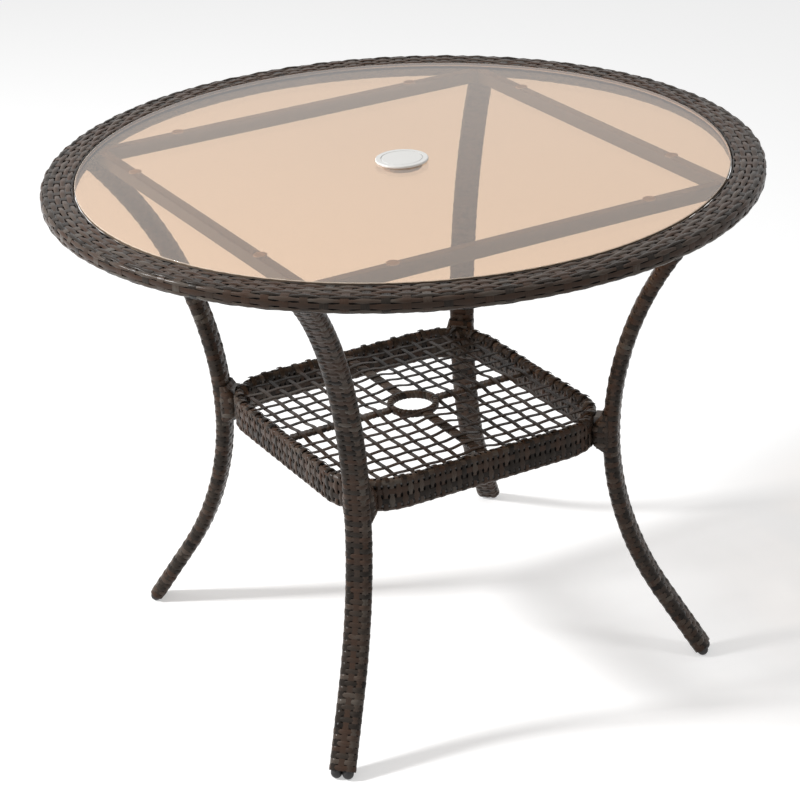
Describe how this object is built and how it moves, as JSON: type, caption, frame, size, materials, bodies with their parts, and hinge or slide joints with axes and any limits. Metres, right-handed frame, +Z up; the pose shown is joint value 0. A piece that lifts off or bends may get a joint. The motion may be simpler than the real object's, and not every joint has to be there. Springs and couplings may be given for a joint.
{
  "type": "umbrella patio table",
  "caption": "Round woven patio table with a tinted glass top, umbrella sleeve, curved woven legs and a square lattice shelf with a pole ring.",
  "frame": {"origin": "on the floor at the table's centre", "axes": "+Z up, +X and +Y along the shelf's sides; the legs stand on the diagonals"},
  "size_m": [0.9999, 1, 0.741],
  "materials": {
    "wicker": "satin woven strip",
    "steel": "dark powder coat",
    "glass": "tinted, clear",
    "pad": "translucent silicone",
    "white_plastic": "satin white",
    "foot": "black",
    "bolt": "zinc plated"
  },
  "bodies": {
    "frame": {"rim_hoop_inner": "steel", "rim_hoop_outer": "steel", "rim_wicker": "wicker", "rail_front": "steel", "rail_right": "steel", "rail_back": "steel", "rail_left": "steel", "glass_pads": "pad", "leg_tube_a_front_left": "steel", "leg_tube_b_front_left": "steel", "leg_wicker_front_left": "wicker", "foot_caps_front_left": "foot", "shelf_bracket_front_left": "steel", "shelf_lashing_front_left": "wicker", "leg_tube_a_front_right": "steel", "leg_tube_b_front_right": "steel", "leg_wicker_front_right": "wicker", "foot_caps_front_right": "foot", "shelf_bracket_front_right": "steel", "shelf_lashing_front_right": "wicker", "leg_tube_a_back_right": "steel", "leg_tube_b_back_right": "steel", "leg_wicker_back_right": "wicker", "foot_caps_back_right": "foot", "shelf_bracket_back_right": "steel", "shelf_lashing_back_right": "wicker", "leg_tube_a_back_left": "steel", "leg_tube_b_back_left": "steel", "leg_wicker_back_left": "wicker", "foot_caps_back_left": "foot", "shelf_bracket_back_left": "steel", "shelf_lashing_back_left": "wicker", "shelf_tube_upper": "steel", "shelf_tube_lower": "steel", "shelf_wicker": "wicker", "shelf_ring": "steel", "shelf_ring_wicker": "wicker", "shelf_bar_front": "steel", "shelf_bar_right": "steel", "shelf_bar_back": "steel", "shelf_bar_left": "steel", "shelf_bar_wicker_front": "wicker", "shelf_bar_wicker_right": "wicker", "shelf_bar_wicker_back": "wicker", "shelf_bar_wicker_left": "wicker", "shelf_net_front_left": "wicker", "shelf_net_front_right": "wicker", "shelf_net_back_right": "wicker", "shelf_net_back_left": "wicker", "shelf_bolts": "bolt", "shelf_washers": "bolt"},
    "glass": {"glass_top": "glass"},
    "umbrella_fitting": {"umbrella_ring": "white_plastic"},
    "umbrella_plug": {"umbrella_cap": "white_plastic"}
  },
  "joints": [
    {"name": "glass_lift", "type": "slide", "parent": "frame", "child": "glass", "axis": [0, 0, 1], "range_m": [0, 0.12]},
    {"name": "ring_lift", "type": "slide", "parent": "glass", "child": "umbrella_fitting", "axis": [0, 0, 1], "range_m": [0, 0.06]},
    {"name": "cap_lift", "type": "slide", "parent": "umbrella_fitting", "child": "umbrella_plug", "axis": [0, 0, 1], "range_m": [0, 0.1]}
  ]
}
